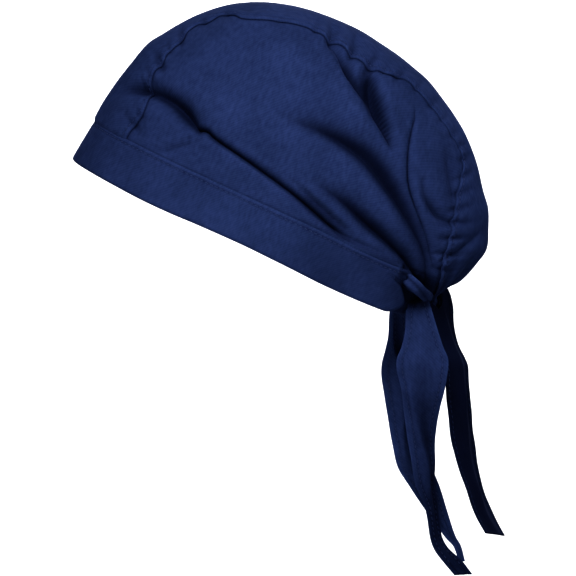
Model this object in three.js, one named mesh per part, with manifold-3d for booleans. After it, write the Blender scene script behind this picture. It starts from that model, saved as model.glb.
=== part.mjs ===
// A tied skull cap of plain twill, as worn. A centre strip runs over the crown between two side
// panels, a folded headband holds their lower edges, and everything is gathered in a half knot at
// the nape, below which two ties and the strip's tail hang.
// Millimetres, +Z up. The front is -Y and the wearer's left is +X. The origin is the middle of the
// head opening, level with the headband's lower edge.
import * as THREE from "three";
import { mergeVertices } from "three/addons/utils/BufferGeometryUtils.js";
import Module from "manifold-3d";

const wasm = await Module();
wasm.setup();

// The crown is a superellipsoid in the cap's own frame, where the headband's lower edge is level.
const CROWN = { front: 99.5, back: 127, side: 76.5, height: 126, power: 2.36 };
// The knot draws the cloth in at the nape, and the cloth bags out above it.
const NAPE = { tuck: 0.15, tuckHeight: 27, bag: 0.03, bagAt: 58, bagHeight: 20 };
// The cap is worn high in front and low at the nape.
const WORN_TILT = THREE.MathUtils.degToRad(24.4);

const CLOTH = 1.0;
const SEAM_GAP = 0.5;
const LAP_GAP = 0.75;
const SLOT_GAP = 0.6;

const BAND = { width: 24, hold: 8, foldPart: 1 / 16 };
const STRIP = { frontAngle: 10.5, napeAngle: 171.2, underlap: 6 };
// Toward the knot, a panel's lower edge rises clear of the headband's strand.
const PANEL = { napeAngle: 172, rise: 3, riseFrom: 0.8, frontEase: 0.35, flatFrom: 0.8, flatTo: 0.94 };
// The strip rises over the panels above the headband, and only then do the panels reach under it.
const LAP = { low: 24, risen: 32, under: 52 };
const KNOT = { back: 111.5, up: 10.3, halfWidth: 13, halfDepth: 7.5, halfHeight: 6.5 };
// Two turns of cloth cross round the knot, each off to its own side and leaning its own way.
const TURNS = { radius: 7.2, strand: 3.6, flatter: 0.9, wider: 1.2, apart: 3, leans: [0.5, -0.6] };

// The headband round the head, 0 in front and 180 at the nape: it is gathered at its ends into a
// strand that runs to the knot.
const BAND_OUTLINE = [
  { angle: 0, low: 0, width: 24 },
  { angle: 140, low: 0, width: 24 },
  { angle: 147, low: 1, width: 22 },
  { angle: 152, low: 4.5, width: 13 },
  { angle: 160, low: 4.5, width: 10 },
  { angle: 174.2, low: 6.5, width: 8 },
];

// Half the centre strip's width along its run: it is drawn in over the front and the crown's back,
// bags at the nape and is gathered in the knot. The angle is 0 in front, 90 over the crown.
const STRIP_OUTLINE = [
  { angle: 0, half: 54 },
  { angle: 29, half: 52 },
  { angle: 37, half: 44 },
  { angle: 50, half: 34 },
  { angle: 63, half: 32 },
  { angle: 80, half: 37 },
  { angle: 105, half: 39 },
  { angle: 128, half: 33 },
  { angle: 141, half: 39 },
  { angle: 152, half: 46 },
  { angle: 161, half: 44 },
  { angle: 167, half: 29 },
  { angle: 172, half: 11 },
];

// Folds in the cloth, by where they run on the side of the cap: back from the origin and up from
// the headband's lower edge. Bow lifts a fold's middle off its straight line, and a depth is how
// far the valley sinks. A ridge has a depth below zero. Each fades over a part of its length.
const FOLDS_LEFT = [
  { back: -84, up: 60, endBack: -40, endUp: 44, bow: 1, width: 6, depth: 2.6, fade: 0.2 },
  { back: -62, up: 38, endBack: -34, endUp: 52, bow: -2, width: 9, depth: -1.6, fade: 0.5 },
  { back: -42, up: 45, endBack: 104, endUp: 18, bow: -4, width: 5, depth: 1.8, fade: 0.1 },
  { back: -8, up: 75, endBack: 106, endUp: 22, bow: 17, width: 10, depth: 4.2, fade: 0.35 },
  { back: 20, up: 45, endBack: 104, endUp: 20, bow: 3, width: 7, depth: 3.2, fade: 0.3 },
  { back: -4, up: 119, endBack: 58, endUp: 78, bow: 4.5, width: 8, depth: 3.2, fade: 0.25 },
  { back: 58, up: 104, endBack: 108, endUp: 24, bow: -8, width: 6, depth: 2.8, fade: 0.25 },
  { back: 78, up: 70, endBack: 104, endUp: 54, bow: -3, width: 6, depth: 1.6, fade: 0.4 },
];
const FOLDS_RIGHT = [
  { back: -82, up: 54, endBack: -46, endUp: 46, bow: 1, width: 6, depth: 2.0, fade: 0.25 },
  { back: -36, up: 41, endBack: 104, endUp: 19, bow: -3, width: 5.5, depth: 1.8, fade: 0.1 },
  { back: 6, up: 68, endBack: 106, endUp: 23, bow: 13, width: 9, depth: 3.8, fade: 0.35 },
  { back: 34, up: 42, endBack: 104, endUp: 20, bow: 2, width: 7, depth: 2.8, fade: 0.3 },
  { back: 4, up: 116, endBack: 64, endUp: 84, bow: 5, width: 8, depth: 2.8, fade: 0.25 },
  { back: 62, up: 96, endBack: 108, endUp: 26, bow: -9, width: 7, depth: 3.0, fade: 0.25 },
];

// The hanging ends, a row for each level. Drop is below the origin, turn swings the width from
// front-to-back (0) to side-to-side (90), and cup is how far the middle bulges off the edges.
const TIE_LEFT = [
  { drop: 40, back: 99, side: 14.5, width: 14, turn: 12, cup: 2.5 },
  { drop: 51, back: 99.8, side: 16, width: 18, turn: 12, cup: 3 },
  { drop: 61, back: 100.6, side: 18, width: 23, turn: 10, cup: 3 },
  { drop: 70, back: 101, side: 19, width: 27.5, turn: 4, cup: 2 },
  { drop: 79, back: 100.8, side: 20, width: 27.5, turn: 8, cup: 2.5 },
  { drop: 93, back: 100.2, side: 20, width: 27, turn: 34, cup: 4 },
  { drop: 110, back: 100.5, side: 19, width: 27, turn: 52, cup: 5 },
  { drop: 130, back: 104.5, side: 18, width: 27, turn: 72, cup: 5 },
  { drop: 151, back: 107, side: 17, width: 27, turn: 84, cup: 4 },
  { drop: 167, back: 110, side: 16, width: 27, turn: 84, cup: 4 },
  { drop: 178, back: 116.5, side: 15, width: 26, turn: 72, cup: 4 },
  { drop: 189, back: 123.5, side: 14, width: 24, turn: 72, cup: 3 },
];
const TIE_RIGHT = [
  { drop: 40, back: 94, side: -7.5, width: 13, turn: -14, cup: 2.5 },
  { drop: 52, back: 91.4, side: -10, width: 17, turn: -10, cup: 3 },
  { drop: 62, back: 92, side: -10, width: 21, turn: -6, cup: 3 },
  { drop: 71, back: 91.8, side: -10, width: 25, turn: 0, cup: 2 },
  { drop: 82, back: 92, side: -9, width: 27, turn: 6, cup: 2 },
  { drop: 94, back: 93.5, side: -9, width: 27, turn: 20, cup: 3 },
  { drop: 111, back: 95.2, side: -8, width: 27, turn: 32, cup: 3 },
  { drop: 126, back: 97, side: -7, width: 27, turn: 42, cup: 3 },
  { drop: 137, back: 99.5, side: -6, width: 26.5, turn: 48, cup: 2 },
  { drop: 146, back: 104.4, side: -5, width: 22, turn: 48, cup: 2 },
  { drop: 155, back: 109.3, side: -4, width: 16, turn: 46, cup: 2 },
  { drop: 168, back: 116, side: -4, width: 9, turn: 40, cup: 1.5 },
  { drop: 181, back: 123.5, side: -3, width: 4, turn: 40, cup: 0.5 },
];
const STRIP_TAIL = [
  { drop: 43, back: 113.5, side: 0, width: 16, turn: 90, cup: 4 },
  { drop: 57, back: 115.6, side: -2, width: 24, turn: 88, cup: 7 },
  { drop: 71, back: 119, side: -4, width: 32, turn: 86, cup: 9 },
  { drop: 87, back: 121, side: -5, width: 36, turn: 84, cup: 10 },
  { drop: 115, back: 125, side: -6, width: 38, turn: 84, cup: 9 },
  { drop: 143, back: 131.5, side: -6, width: 37, turn: 86, cup: 7 },
  { drop: 167, back: 140, side: -5, width: 36, turn: 88, cup: 8 },
];

const KNOT_FADE = 0.08;
const BAND_FADE = 12;

const smooth = THREE.MathUtils.smoothstep;
const radians = THREE.MathUtils.degToRad;

// How far out the crown lies in a direction with one coordinate held, before the nape is drawn in:
// the height for a level line, whose angle turns about Z, or the side for a slice, about X.
function crownReach(held, size, first, firstReach, second, secondReach) {
  const { power } = CROWN;
  const left = Math.max(1 - Math.pow(Math.abs(held) / size, power), 0);
  const spread =
    Math.pow(Math.abs(first) / firstReach, power) + Math.pow(Math.abs(second) / secondReach, power);
  return Math.pow(left / spread, 1 / power);
}

function reachAlong(back) {
  return back < 0 ? CROWN.front : CROWN.back;
}

function levelPoint(up, angle) {
  const side = Math.sin(angle);
  const back = -Math.cos(angle);
  const reach = crownReach(up, CROWN.height, side, CROWN.side, back, reachAlong(back));
  return new THREE.Vector3(side * reach, back * reach, up);
}

function slicePoint(side, angle) {
  const back = -Math.cos(angle);
  const up = Math.sin(angle);
  const reach = crownReach(side, CROWN.side, back, reachAlong(back), up, CROWN.height);
  return new THREE.Vector3(side, back * reach, up * reach);
}

// The crown's point in the direction of a point near it.
function ontoCrown(point) {
  const { side, height, power } = CROWN;
  const sum =
    Math.pow(Math.abs(point.x) / side, power) +
    Math.pow(Math.abs(point.y) / reachAlong(point.y), power) +
    Math.pow(Math.abs(point.z) / height, power);
  return point.clone().multiplyScalar(Math.pow(sum, -1 / power));
}

function crownNormal(point) {
  const { side, height, power } = CROWN;
  const slope = (value, reach) =>
    (Math.sign(value) * Math.pow(Math.abs(value) / reach, power - 1)) / reach;
  return new THREE.Vector3(
    slope(point.x, side),
    slope(point.y, reachAlong(point.y)),
    slope(point.z, height),
  ).normalize();
}

function napeFactor(point) {
  const ramp = smooth(point.y, 0, CROWN.back);
  const tuck = NAPE.tuck * Math.exp(-Math.pow(point.z / NAPE.tuckHeight, 2));
  const bag = NAPE.bag * Math.exp(-Math.pow((point.z - NAPE.bagAt) / NAPE.bagHeight, 2));
  return 1 + (bag - tuck) * ramp;
}

// How far one fold lifts the cloth at a place on the cap's side. It ends sharply at the knot.
function foldLift(fold, back, up) {
  const runBack = fold.endBack - fold.back;
  const runUp = fold.endUp - fold.up;
  const length = Math.hypot(runBack, runUp);
  const along = ((back - fold.back) * runBack + (up - fold.up) * runUp) / (length * length);
  if (along <= 0 || along >= 1) {
    return 0;
  }
  const across = ((up - fold.up) * runBack - (back - fold.back) * runUp) / length;
  const off = (across - fold.bow * 4 * along * (1 - along)) / fold.width;
  const fading = smooth(along, 0, fold.fade) * smooth(1 - along, 0, KNOT_FADE);
  return -fold.depth * Math.exp(-off * off) * fading;
}

// The panel's folds die out in the headband's slot.
function foldedLift(point) {
  const folds = point.x > 0 ? FOLDS_LEFT : FOLDS_RIGHT;
  const lift = folds.reduce((sum, fold) => sum + foldLift(fold, point.y, point.z), 0);
  return lift * smooth(point.z, BAND.width, BAND.width + BAND_FADE);
}

// The cloth's place on the worn crown, some way out from it along its normal.
function clothPoint(point, outward) {
  const place = point.clone();
  place.y *= napeFactor(point);
  return place.addScaledVector(crownNormal(point), outward);
}

// A column's value between a table's rows, on a smooth curve through them.
function tableValue(rows, key, column, at) {
  const place = THREE.MathUtils.clamp(at, rows[0][key], rows[rows.length - 1][key]);
  const next = Math.max(rows.findIndex((row) => row[key] >= place), 1);
  const slope = (i) => {
    const before = rows[Math.max(i - 1, 0)];
    const after = rows[Math.min(i + 1, rows.length - 1)];
    return (after[column] - before[column]) / (after[key] - before[key]);
  };
  const from = rows[next - 1];
  const to = rows[next];
  const span = to[key] - from[key];
  const t = (place - from[key]) / span;
  const eased = t * t * (3 - 2 * t);
  const leaving = t * (1 - t) * (1 - t) * span * slope(next - 1);
  const arriving = t * t * (t - 1) * span * slope(next);
  return THREE.MathUtils.lerp(from[column], to[column], eased) + leaving + arriving;
}

function halfStrip(angle) {
  return tableValue(STRIP_OUTLINE, "angle", "half", THREE.MathUtils.radToDeg(angle));
}

// A closed sheet of cloth: a thin box, divided, with each corner moved to the surface.
function bentSheet(surface, columns, rows, thickness) {
  const sheet = new THREE.BoxGeometry(1, 1, 1, columns, rows, 1);
  const corners = sheet.getAttribute("position");
  const step = 1e-3;
  for (let i = 0; i < corners.count; i += 1) {
    const u = corners.getX(i) + 0.5;
    const v = corners.getY(i) + 0.5;
    const alongU = surface(u + step, v).sub(surface(u - step, v));
    const alongV = surface(u, v + step).sub(surface(u, v - step));
    const normal = alongU.cross(alongV).normalize();
    const place = surface(u, v).addScaledVector(normal, corners.getZ(i) * thickness);
    corners.setXYZ(i, place.x, place.y, place.z);
  }
  sheet.computeVertexNormals();
  return sheet;
}

function stripGeometry() {
  const surface = (u, v) => {
    const angle = radians(THREE.MathUtils.lerp(STRIP.frontAngle, STRIP.napeAngle, u));
    const half = halfStrip(angle) - SEAM_GAP / 2;
    const point = slicePoint((1 - 2 * v) * half, angle);
    return clothPoint(point, (CLOTH + LAP_GAP) * smooth(point.z, LAP.low, LAP.risen));
  };
  return bentSheet(surface, 46, 8, CLOTH);
}

// One side panel, from the headband up to the strip and a little way under it.
function panelGeometry(handed) {
  const hem = BAND.width - BAND.hold;
  const frontAngle = radians(STRIP.frontAngle);
  const napeAngle = radians(STRIP.napeAngle - 1);
  const corner = slicePoint(halfStrip(frontAngle) + SEAM_GAP, frontAngle);
  const hemFront = Math.atan2(corner.x, -corner.y);
  const hemNape = radians(PANEL.napeAngle);
  const surface = (u, v) => {
    const run = THREE.MathUtils.lerp(u, smooth(u, 0, 1), PANEL.frontEase);
    const hemAngle = THREE.MathUtils.lerp(hemFront, hemNape, u);
    const seamAngle = THREE.MathUtils.lerp(frontAngle, napeAngle, run);
    const low = levelPoint(hem + PANEL.rise * smooth(u, PANEL.riseFrom, 1), hemAngle);
    const half = halfStrip(seamAngle) + SEAM_GAP / 2;
    const seam = slicePoint(half, seamAngle);
    const under = STRIP.underlap * smooth(seam.z, LAP.risen, LAP.under);
    const high = slicePoint(half - under, seamAngle);
    const point = ontoCrown(low.lerp(high, v));
    point.x *= handed;
    return clothPoint(point, foldedLift(point) * (1 - smooth(v, PANEL.flatFrom, PANEL.flatTo)));
  };
  return bentSheet(surface, 32, 15, CLOTH);
}

// The headband is a strip folded along its lower edge, with the crown's hem held in the slot.
function bandGeometry() {
  const wall = CLOTH + SLOT_GAP;
  const end = BAND_OUTLINE[BAND_OUTLINE.length - 1].angle;
  const surface = (u, v) => {
    const degrees = THREE.MathUtils.lerp(end, -end, u);
    const low = tableValue(BAND_OUTLINE, "angle", "low", Math.abs(degrees));
    const width = tableValue(BAND_OUTLINE, "angle", "width", Math.abs(degrees));
    const fromFold = (2 * v - 1) * Math.abs(2 * v - 1);
    const outward = wall * THREE.MathUtils.clamp(fromFold / BAND.foldPart, -1, 1);
    return clothPoint(levelPoint(low + width * Math.abs(fromFold), radians(degrees)), outward);
  };
  return bentSheet(surface, 56, 8, CLOTH);
}

// A hanging end, swept down through the rows of its table.
function hangingGeometry(rows, steps) {
  const top = rows[0].drop;
  const bottom = rows[rows.length - 1].drop;
  const surface = (u, v) => {
    const drop = THREE.MathUtils.lerp(top, bottom, u);
    const at = (column) => tableValue(rows, "drop", column, drop);
    const turn = radians(at("turn"));
    const across = (v - 0.5) * at("width");
    const bulge = at("cup") * (0.5 - Math.pow(2 * v - 1, 2));
    return new THREE.Vector3(
      at("side") - Math.sin(turn) * across + Math.cos(turn) * bulge,
      at("back") + Math.cos(turn) * across + Math.sin(turn) * bulge,
      -drop,
    );
  };
  return bentSheet(surface, steps, 4, CLOTH);
}

function solidOf(geometry) {
  const bare = geometry.clone();
  bare.deleteAttribute("normal");
  bare.deleteAttribute("uv");
  const merged = mergeVertices(bare, 1e-3);
  const shape = { numProp: 3, vertProperties: merged.attributes.position.array };
  return new wasm.Manifold(new wasm.Mesh({ ...shape, triVerts: new Uint32Array(merged.index.array) }));
}

function geometryOf(solid) {
  const mesh = solid.getMesh();
  const geometry = new THREE.BufferGeometry();
  geometry.setAttribute("position", new THREE.BufferAttribute(new Float32Array(mesh.vertProperties), 3));
  geometry.setIndex(new THREE.BufferAttribute(new Uint32Array(mesh.triVerts), 1));
  geometry.computeVertexNormals();
  return geometry;
}

// A half knot: a lump of cloth with the turns round it.
function knotGeometry() {
  const lump = new THREE.SphereGeometry(1, 12, 7);
  lump.scale(KNOT.halfWidth, KNOT.halfDepth, KNOT.halfHeight);
  const turns = TURNS.leans.map((lean) => {
    const turn = new THREE.TorusGeometry(TURNS.radius, TURNS.strand, 6, 12);
    turn.scale(1, TURNS.flatter, TURNS.wider);
    turn.rotateY(Math.PI / 2 + lean);
    return turn.translate(Math.sign(lean) * TURNS.apart, 0, 0);
  });
  const joined = turns.reduce((sum, turn) => sum.add(solidOf(turn)), solidOf(lump));
  return geometryOf(joined);
}

function clothMaterial(color) {
  return new THREE.MeshStandardMaterial({ color, roughness: 0.9, metalness: 0 });
}

function piece(name, geometry, color) {
  const mesh = new THREE.Mesh(geometry, clothMaterial(color));
  mesh.name = name;
  return mesh;
}

const NAVY = 0x1e2f5f;
const DEEP_NAVY = 0x182650;

// The pieces that follow the crown share its frame, which leans back as the cap is worn.
const crown = new THREE.Group();
crown.rotation.x = -WORN_TILT;
crown.add(piece("headband", bandGeometry(), NAVY));
crown.add(piece("side_panel_left", panelGeometry(1), NAVY));
crown.add(piece("side_panel_right", panelGeometry(-1), NAVY));
crown.add(piece("crown_strip", stripGeometry(), NAVY));
const knot = piece("nape_knot", knotGeometry(), DEEP_NAVY);
knot.position.set(0, KNOT.back, KNOT.up);
crown.add(knot);

const cap = new THREE.Group();
cap.add(crown);
cap.add(piece("tie_left", hangingGeometry(TIE_LEFT, 24), NAVY));
cap.add(piece("tie_right", hangingGeometry(TIE_RIGHT, 24), NAVY));
cap.add(piece("strip_tail", hangingGeometry(STRIP_TAIL, 18), DEEP_NAVY));

export default cap;
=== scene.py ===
# %% [markdown]
# # A tied cap of navy twill
# The real cap is cut from one cloth: a centre strip over the crown, a panel on each side of it, a
# folded headband that holds their lower edges, and three loose ends below the knot at the nape.
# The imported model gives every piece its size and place. This lesson gives the same pieces their
# finish: folds, gathered seams, stitches and a woven surface.

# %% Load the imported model
import math
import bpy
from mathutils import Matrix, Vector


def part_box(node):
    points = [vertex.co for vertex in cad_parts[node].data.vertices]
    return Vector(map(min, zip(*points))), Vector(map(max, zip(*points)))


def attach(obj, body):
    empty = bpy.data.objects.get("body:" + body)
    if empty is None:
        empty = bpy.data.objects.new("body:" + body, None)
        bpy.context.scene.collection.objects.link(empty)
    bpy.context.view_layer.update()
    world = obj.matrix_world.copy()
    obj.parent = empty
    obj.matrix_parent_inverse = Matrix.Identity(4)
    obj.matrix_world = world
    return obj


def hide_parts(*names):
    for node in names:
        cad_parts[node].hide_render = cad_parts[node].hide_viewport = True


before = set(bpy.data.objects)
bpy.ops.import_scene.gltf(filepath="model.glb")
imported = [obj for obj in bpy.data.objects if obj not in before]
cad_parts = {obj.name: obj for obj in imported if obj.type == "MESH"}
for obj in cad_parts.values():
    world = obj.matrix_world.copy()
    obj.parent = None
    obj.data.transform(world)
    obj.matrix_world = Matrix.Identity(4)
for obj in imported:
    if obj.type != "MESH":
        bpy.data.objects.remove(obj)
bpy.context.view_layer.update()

from types import SimpleNamespace as Named

import bmesh
import bpy
import numpy as np
from mathutils import Matrix, Vector, noise

print("packed nodes:", sorted(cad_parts))

# %% [markdown]
# ## Helpers
# Colours are written as the eye knows them, in sRGB hex, and Blender works in linear light, so one
# function turns them. Others add a node with its settings and links in one call, start a material,
# make a mesh and put an object in the scene.

# %% Colour, node and object helpers
def linear(hex_colour):
    """An sRGB colour such as "1e2f5f" in linear light, with full opacity."""
    parts = [int(hex_colour[i:i + 2], 16) / 255 for i in (0, 2, 4)]
    return [p / 12.92 if p <= 0.04045 else ((p + 0.055) / 1.055) ** 2.4 for p in parts] + [1.0]


def fill(node, **inputs):
    """Sets a node's inputs to values, or links sockets to them; _ stands for a space."""
    for name, value in inputs.items():
        socket = node.inputs[name.replace("_", " ")]
        if isinstance(value, bpy.types.NodeSocket):
            node.id_data.links.new(value, socket)
        else:
            socket.default_value = value


def add_node(tree, kind, settings=(), **inputs):
    """A node of that kind with its settings and its inputs."""
    made = tree.nodes.new(kind)
    for name, value in dict(settings).items():
        setattr(made, name, value)
    fill(made, **inputs)
    return made


def bare_material(name):
    """A new material's node tree, with only its output and Principled shader."""
    material = bpy.data.materials.new(name)
    material.use_nodes = True
    tree = material.node_tree
    return material, tree, tree.nodes["Principled BSDF"]


def mesh_from(name, built):
    """A smooth mesh from a bmesh, which is freed."""
    mesh = bpy.data.meshes.new(name)
    built.to_mesh(mesh)
    built.free()
    mesh.shade_smooth()
    return mesh


def add_object(name, data):
    """A new object in the scene for that data."""
    made = bpy.data.objects.new(name, data)
    bpy.context.scene.collection.objects.link(made)
    return made


print("navy in linear light:", [round(value, 4) for value in linear("1e2f5f")])

# %% [markdown]
# ## The camera
# The cap is looked at from the wearer's left, from far off and a little above, so that its sides
# stay nearly parallel. A long lens on a camera nearly two metres away gives that.

# %% Camera
MM = 0.001
VIEW = Named(distance=1.9, elevation=math.radians(5), width=0.3226, sensor=36.0)
TARGET = Vector((0, 0.02604, -0.0312))

away = Vector((math.cos(VIEW.elevation), 0, math.sin(VIEW.elevation)))
camera_data = bpy.data.cameras.new("camera")
camera_data.sensor_width = VIEW.sensor
camera_data.lens = VIEW.sensor * VIEW.distance / VIEW.width
camera = add_object("camera", camera_data)
camera.location = TARGET + away * VIEW.distance
camera.rotation_euler = away.to_track_quat("Z", "Y").to_euler()
bpy.context.scene.camera = camera
print("lens, mm:", round(camera_data.lens, 1))

# %% [markdown]
# ## The studio
# A worn cap has nothing to stand on, so it hangs in front of a pale sweep: a round floor whose rim
# curves up into a wall. Spinning one line about the upright axis makes floor, bend and wall in one
# piece with no corner to see. The floor lies well below the ties, so no hard shadow falls on it.

# %% Floor and wall in one sweep
SWEEP = Named(floor=-0.9, radius=3.2, bend=0.8, top=2.4, bend_steps=10, spin_steps=64)
PAPER = Named(colour="ecedf0", roughness=0.95)


def sweep_profile():
    """Points from the middle of the floor, round the bend and up the wall."""
    flat = SWEEP.radius - SWEEP.bend
    centre = SWEEP.floor + SWEEP.bend
    turns = np.linspace(-math.pi / 2, 0, SWEEP.bend_steps + 1)
    bend = [(flat + SWEEP.bend * math.cos(t), centre + SWEEP.bend * math.sin(t))
            for t in turns]
    return [(0, SWEEP.floor), *bend, (SWEEP.radius, SWEEP.top)]


def make_sweep():
    built = bmesh.new()
    corners = [built.verts.new((out, 0, up)) for out, up in sweep_profile()]
    edges = [built.edges.new(pair) for pair in zip(corners, corners[1:])]
    bmesh.ops.spin(built, geom=[*corners, *edges], cent=(0, 0, 0), axis=(0, 0, 1), dvec=(0, 0, 0),
                   angle=2 * math.pi, steps=SWEEP.spin_steps, use_merge=True,
                   use_duplicate=False)
    bmesh.ops.remove_doubles(built, verts=built.verts, dist=1e-5)
    bmesh.ops.recalc_face_normals(built, faces=built.faces)
    return add_object("sweep", mesh_from("sweep", built))


sweep = make_sweep()
paper, _, paper_shader = bare_material("matt_background_paper")
fill(paper_shader, Base_Color=linear(PAPER.colour), Roughness=PAPER.roughness)
sweep.data.materials.append(paper)
print("sweep faces:", len(sweep.data.polygons))

# %% [markdown]
# ## The light
# There are five lights. The key is soft and stands beside the cap, a little above it, so that each
# valley has a lit lip and a dark bed. Two narrow ones help it: the low one lifts the near tie, and
# the back one follows the rear of the crown. The far one opens the shadows on the other side, and
# the last lights only the wall. The world gives the even glow of a white room.

# %% Lights
LIGHTS = [
    # name, place, aim, size, spread in degrees, watts
    ("key", (0.67, -0.03, 0.54), (0, 0.03, -0.02), 0.3, 150, 6.4),
    ("low", (0.56, -0.3, -0.1), (0.02, 0.1, -0.04), 0.16, 24, 0.055),
    ("back", (0.3, 1.4, 0.25), (0, 0.06, 0.05), 0.2, 22, 0.11),
    ("far", (-1.5, 0.3, 0.9), (0, 0.03, -0.02), 1.0, 70, 2.2),
    ("wall", (-2.3, 0.0, 0.8), (-3.2, 0.0, -0.3), 1.0, 110, 13.0),
]
WORLD = Named(colour="f6f6fb", strength=0.18)


def add_light(name, place, aim, size, spread, watts):
    data = bpy.data.lights.new(name, "AREA")
    data.shape = "SQUARE"
    data.size = size
    data.spread = math.radians(spread)
    data.energy = watts
    light = add_object(name, data)
    light.location = place
    light.rotation_euler = (Vector(place) - Vector(aim)).to_track_quat("Z", "Y").to_euler()


for row in LIGHTS:
    add_light(*row)
world = bpy.data.worlds.new("white_room")
world.use_nodes = True
glow = world.node_tree.nodes["Background"]
fill(glow, Color=linear(WORLD.colour), Strength=WORLD.strength)
bpy.context.scene.world = world
bpy.context.scene.view_settings.view_transform = "Standard"
bpy.context.scene.view_settings.look = "High Contrast"
print("lights:", [row[0] for row in LIGHTS])

# %% [markdown]
# ## Tables and smooth curves
# A maker's pattern is a short table: so wide here, so wide there. Each table below has named
# columns, and a smooth curve runs through its rows. All sizes are in millimetres.

# %% Tables
def table(columns, *rows):
    """A table's columns, by name."""
    return dict(zip(columns.split(), np.array(rows, float).T))


def smooth(value, start, end):
    """0 before start, 1 after end, and an S-curve between."""
    part = np.clip((value - start) / (end - start), 0, 1)
    return part * part * (3 - 2 * part)


def curve(rows, key, column, at):
    """A column's value between a table's rows, on a smooth curve through them."""
    keys, values = rows[key], rows[column]
    index = np.arange(len(keys))
    before, after = np.maximum(index - 1, 0), np.minimum(index + 1, len(keys) - 1)
    slope = (values[after] - values[before]) / (keys[after] - keys[before])
    place = np.clip(at, keys[0], keys[-1])
    upper = np.clip(np.searchsorted(keys, place), 1, len(keys) - 1)
    lower = upper - 1
    span = keys[upper] - keys[lower]
    t = (place - keys[lower]) / span
    eased = values[lower] + (values[upper] - values[lower]) * t * t * (3 - 2 * t)
    leaving = t * (1 - t) ** 2 * span * slope[lower]
    arriving = t * t * (t - 1) * span * slope[upper]
    return eased + leaving + arriving


def rows_at(rows, key, at):
    """All of a table's columns at some places along its key column."""
    return {column: curve(rows, key, column, at) for column in rows}


def joined(*parts):
    """Runs of numbers joined as the columns of one array."""
    return np.stack(parts, axis=1)


def hump(value, at, width):
    """1 at one place, and dying away on both sides of it."""
    return np.exp(-((value - at) / width) ** 2)


def stripe(off, share, at, width):
    """A soft line along an edge: its strength, by the distance off the edge."""
    return share * hump(off, at, width)


def run_length(path):
    """How far along a path each of its points lies."""
    return np.concatenate([[0], np.cumsum(np.linalg.norm(np.diff(path, axis=0), axis=1))])


def closer(flat, even):
    """A run from -1 to 1 with its steps closer together at both ends."""
    return even * flat + (1 - even) * np.sin(flat * math.pi / 2)


print("half way up a smooth step:", smooth(0.5, 0, 1))

# %% [markdown]
# ## The worn crown
# The cap takes the form of a head. That form is a superellipsoid, an egg with fuller corners, in
# the cap's own frame, where the headband's lower edge is level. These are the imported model's own
# numbers, so each piece made here lies where its node lies. At the nape the knot draws the cloth
# in, and just above it the cloth bags out.

# %% The crown's form
CROWN = Named(front=99.5, back=127.0, side=76.5, height=126.0, power=2.36)
NAPE = Named(tuck=0.15, tuck_height=27, bag=0.03, bag_at=58, bag_height=20)
WORN_TILT = math.radians(24.4)


def half_sizes(point):
    """How far the crown reaches along each axis, on each point's side of it."""
    same = np.ones(len(point))
    return joined(CROWN.side * same, np.where(point[:, 1] < 0, CROWN.front, CROWN.back),
                  CROWN.height * same)


def crown_sum(point):
    """1 on the crown, less inside it and more outside."""
    return (np.abs(point / half_sizes(point)) ** CROWN.power).sum(1)


def onto_crown(point):
    """The crown's point in the direction of each point near it."""
    return point * (crown_sum(point) ** (-1 / CROWN.power))[:, None]


def crown_normal(point):
    reach = half_sizes(point)
    slope = np.sign(point) * np.abs(point / reach) ** (CROWN.power - 1) / reach
    return slope / np.linalg.norm(slope, axis=1)[:, None]


def straight_out(start, way):
    """The crown's point that lies from a start inside it along a direction square to it."""
    left = np.maximum(1 - crown_sum(start), 0)
    return start + way * ((left / crown_sum(way)) ** (1 / CROWN.power))[:, None]


def level_point(up, degrees):
    """The crown's point at a height, 0 degrees in front and 180 at the nape."""
    turn, none = np.radians(degrees), 0 * (up + degrees)
    return straight_out(joined(none, none, up + none), joined(np.sin(turn), -np.cos(turn), none))


def slice_point(side, degrees):
    """The crown's point on an upright slice, 0 degrees in front, 90 on top, 180 at the nape."""
    turn, none = np.radians(degrees), 0 * (side + degrees)
    return straight_out(joined(side + none, none, none), joined(none, -np.cos(turn), np.sin(turn)))


def side_point(hand, back, up):
    """The crown's point on one side, at a place back and up."""
    none = 0 * back
    return straight_out(joined(none, back, up), joined(none + hand, none, none))


def slice_angle(point):
    """The angle of the upright slice through a point."""
    return np.degrees(np.arctan2(point[:, 2], -point[:, 1]))


def nape_factor(point):
    ramp = smooth(point[:, 1], 0, CROWN.back)
    tuck = NAPE.tuck * hump(point[:, 2], 0, NAPE.tuck_height)
    bag = NAPE.bag * hump(point[:, 2], NAPE.bag_at, NAPE.bag_height)
    return 1 + (bag - tuck) * ramp


def cloth_point(point, outward):
    """The cloth's place on the worn crown, some way out from it along its normal."""
    place = point.copy()
    place[:, 1] *= nape_factor(point)
    return place + crown_normal(point) * np.asarray(outward)[:, None]


def as_worn(point):
    """From the cap's own frame to the worn one, which leans down towards the nape."""
    lean, rise = math.cos(WORN_TILT), math.sin(WORN_TILT)
    side, back, up = point.T
    return joined(side, back * lean + up * rise, up * lean - back * rise)


crest = as_worn(cloth_point(slice_point(np.zeros(1), np.full(1, 90.0)), [0]))
print("top of the crown, mm:", crest.round(1).tolist())

# %% [markdown]
# ## A sheet of cloth
# Every piece is a flat grid moved to its place, as cloth is laid on a head. The surface function
# takes the grid's two runs, from 0 to 1, and gives each corner's place, its place in the weave, how
# worn it is and how much shade is painted on it. Solidify then gives the cloth its thickness, twice
# the real 0.4 mm so that a hem's edge still shows.

# %% Sheet builder
CLOTH = 0.8
DETAIL = 1.0
FEWEST = 4


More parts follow.
